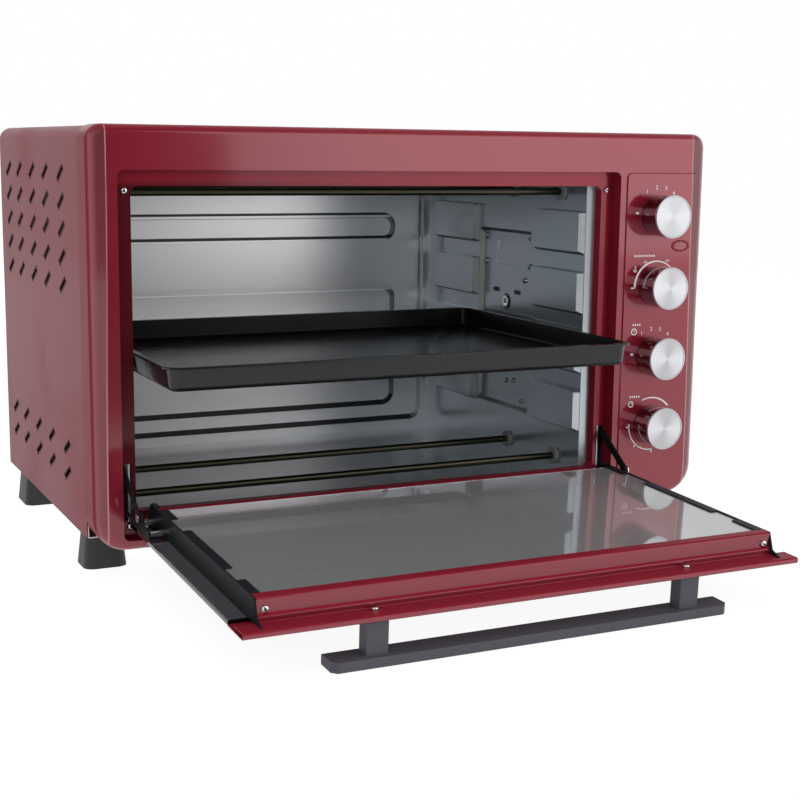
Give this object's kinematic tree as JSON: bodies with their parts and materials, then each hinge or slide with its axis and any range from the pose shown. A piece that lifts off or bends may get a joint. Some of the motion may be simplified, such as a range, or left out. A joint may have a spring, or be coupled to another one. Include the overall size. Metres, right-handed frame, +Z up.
{
  "type": "electric countertop oven",
  "caption": "Countertop oven with a drop-down glass door, embossed cavity, tray on runners, heater tubes and a column of rotary knobs.",
  "frame": {"origin": "middle of the foot of the bounding box, at the height of the feet's undersides", "axes": "+X to the right seen from the front, +Y from the front to the back, +Z up"},
  "size_m": [0.59, 0.653, 0.3686],
  "materials": {
    "red_paint": "gloss",
    "dark_steel": "satin",
    "zinc_steel": "satin",
    "liner_steel": "satin",
    "heater_steel": "satin",
    "ceramic_bush": "matte",
    "bright_screw": "polished",
    "door_glass": "polished",
    "handle_grey": "satin",
    "foot_black": "matte",
    "control_black": "matte",
    "shaft_brass": "satin",
    "knob_chrome": "polished",
    "cap_aluminium": "spun",
    "lens_red": "gloss",
    "gland_rubber": "matte",
    "tray_enamel": "gloss enamel"
  },
  "bodies": {
    "cabinet": {"front_frame": "red_paint", "casing_wrap": "red_paint", "base_plate": "zinc_steel", "rear_cover": "zinc_steel", "hinge_bracket_left": "zinc_steel", "hinge_bracket_right": "zinc_steel", "cavity_left_wall": "liner_steel", "cavity_right_wall": "liner_steel", "cavity_top": "liner_steel", "cavity_floor": "liner_steel", "cavity_back": "liner_steel", "upper_heaters": "heater_steel", "lower_heaters": "heater_steel", "heater_bushes": "ceramic_bush", "frame_screws": "bright_screw", "case_screws": "bright_screw", "wall_screws": "bright_screw", "foot_screws": "bright_screw", "hinge_pins": "bright_screw", "stay_springs": "bright_screw", "front_foot_left": "foot_black", "front_foot_right": "foot_black", "rear_foot_left": "foot_black", "rear_foot_right": "foot_black", "function_control": "control_black", "thermostat_control": "control_black", "heater_control": "control_black", "timer_control": "control_black", "drive_motor": "control_black", "indicator_lamp": "control_black", "indicator_lens": "lens_red", "lead_gland": "gland_rubber"},
    "door": {"door_outer_glass": "door_glass", "door_inner_glass": "door_glass", "door_top_rail": "red_paint", "door_bottom_rail": "red_paint", "door_screws": "bright_screw", "door_plate_left": "dark_steel", "door_plate_right": "dark_steel", "hinge_leaves": "dark_steel", "door_rivets": "bright_screw", "handle_bar": "handle_grey", "handle_posts": "handle_grey", "handle_screws": "bright_screw"},
    "stay_arm_left": {"stay_arm_left": "dark_steel"},
    "stay_arm_right": {"stay_arm_right": "dark_steel"},
    "tray": {"tray": "tray_enamel"},
    "drive_socket": {"drive_socket": "bright_screw"},
    "function_knob": {"function_knob": "knob_chrome", "function_knob_cap": "cap_aluminium", "function_shaft": "shaft_brass"},
    "thermostat_knob": {"thermostat_knob": "knob_chrome", "thermostat_knob_cap": "cap_aluminium", "thermostat_shaft": "shaft_brass"},
    "heater_knob": {"heater_knob": "knob_chrome", "heater_knob_cap": "cap_aluminium", "heater_shaft": "shaft_brass"},
    "timer_knob": {"timer_knob": "knob_chrome", "timer_knob_cap": "cap_aluminium", "timer_shaft": "shaft_brass"}
  },
  "joints": [
    {"name": "door_hinge", "type": "hinge", "parent": "cabinet", "child": "door", "pos_m": [-0.0354, -0.04735, 0.05035], "axis": [1, 0, 0], "range_deg": [-92.08, 0], "deforming": ["stay_springs"]},
    {"name": "tray_slide", "type": "slide", "parent": "cabinet", "child": "tray", "axis": [0, 1, 0], "range_m": [0, 0.096]},
    {"name": "drive_turn", "type": "hinge", "parent": "cabinet", "child": "drive_socket", "pos_m": [0.1825, 0.12165, 0.1975], "axis": [1, 0, 0], "continuous": true},
    {"name": "stay_pivot_left", "type": "hinge", "parent": "door", "child": "stay_arm_left", "pos_m": [-0.2664, -0.0837, 0.05944], "axis": [1, 0, 0], "range_deg": [0, 46.04]},
    {"name": "stay_pivot_right", "type": "hinge", "parent": "door", "child": "stay_arm_right", "pos_m": [0.1956, -0.0837, 0.05944], "axis": [1, 0, 0], "range_deg": [0, 46.04]},
    {"name": "function_turn", "type": "hinge", "parent": "cabinet", "child": "function_knob", "pos_m": [0.2427, -0.05555, 0.293], "axis": [0, 1, 0], "range_deg": [0, 120]},
    {"name": "thermostat_turn", "type": "hinge", "parent": "cabinet", "child": "thermostat_knob", "pos_m": [0.2427, -0.05555, 0.2267], "axis": [0, 1, 0], "range_deg": [0, 270]},
    {"name": "heater_turn", "type": "hinge", "parent": "cabinet", "child": "heater_knob", "pos_m": [0.2427, -0.05555, 0.1604], "axis": [0, 1, 0], "range_deg": [0, 120]},
    {"name": "timer_turn", "type": "hinge", "parent": "cabinet", "child": "timer_knob", "pos_m": [0.2427, -0.05555, 0.0941], "axis": [0, 1, 0], "range_deg": [0, 300]}
  ],
  "couplings": [
    {"joint": "stay_pivot_left", "follows": "door_hinge", "ratio": -0.5},
    {"joint": "stay_pivot_right", "follows": "door_hinge", "ratio": -0.5},
    {"joint": "tray_slide", "follows": "door_hinge", "m_per_rad": -0.05974}
  ]
}
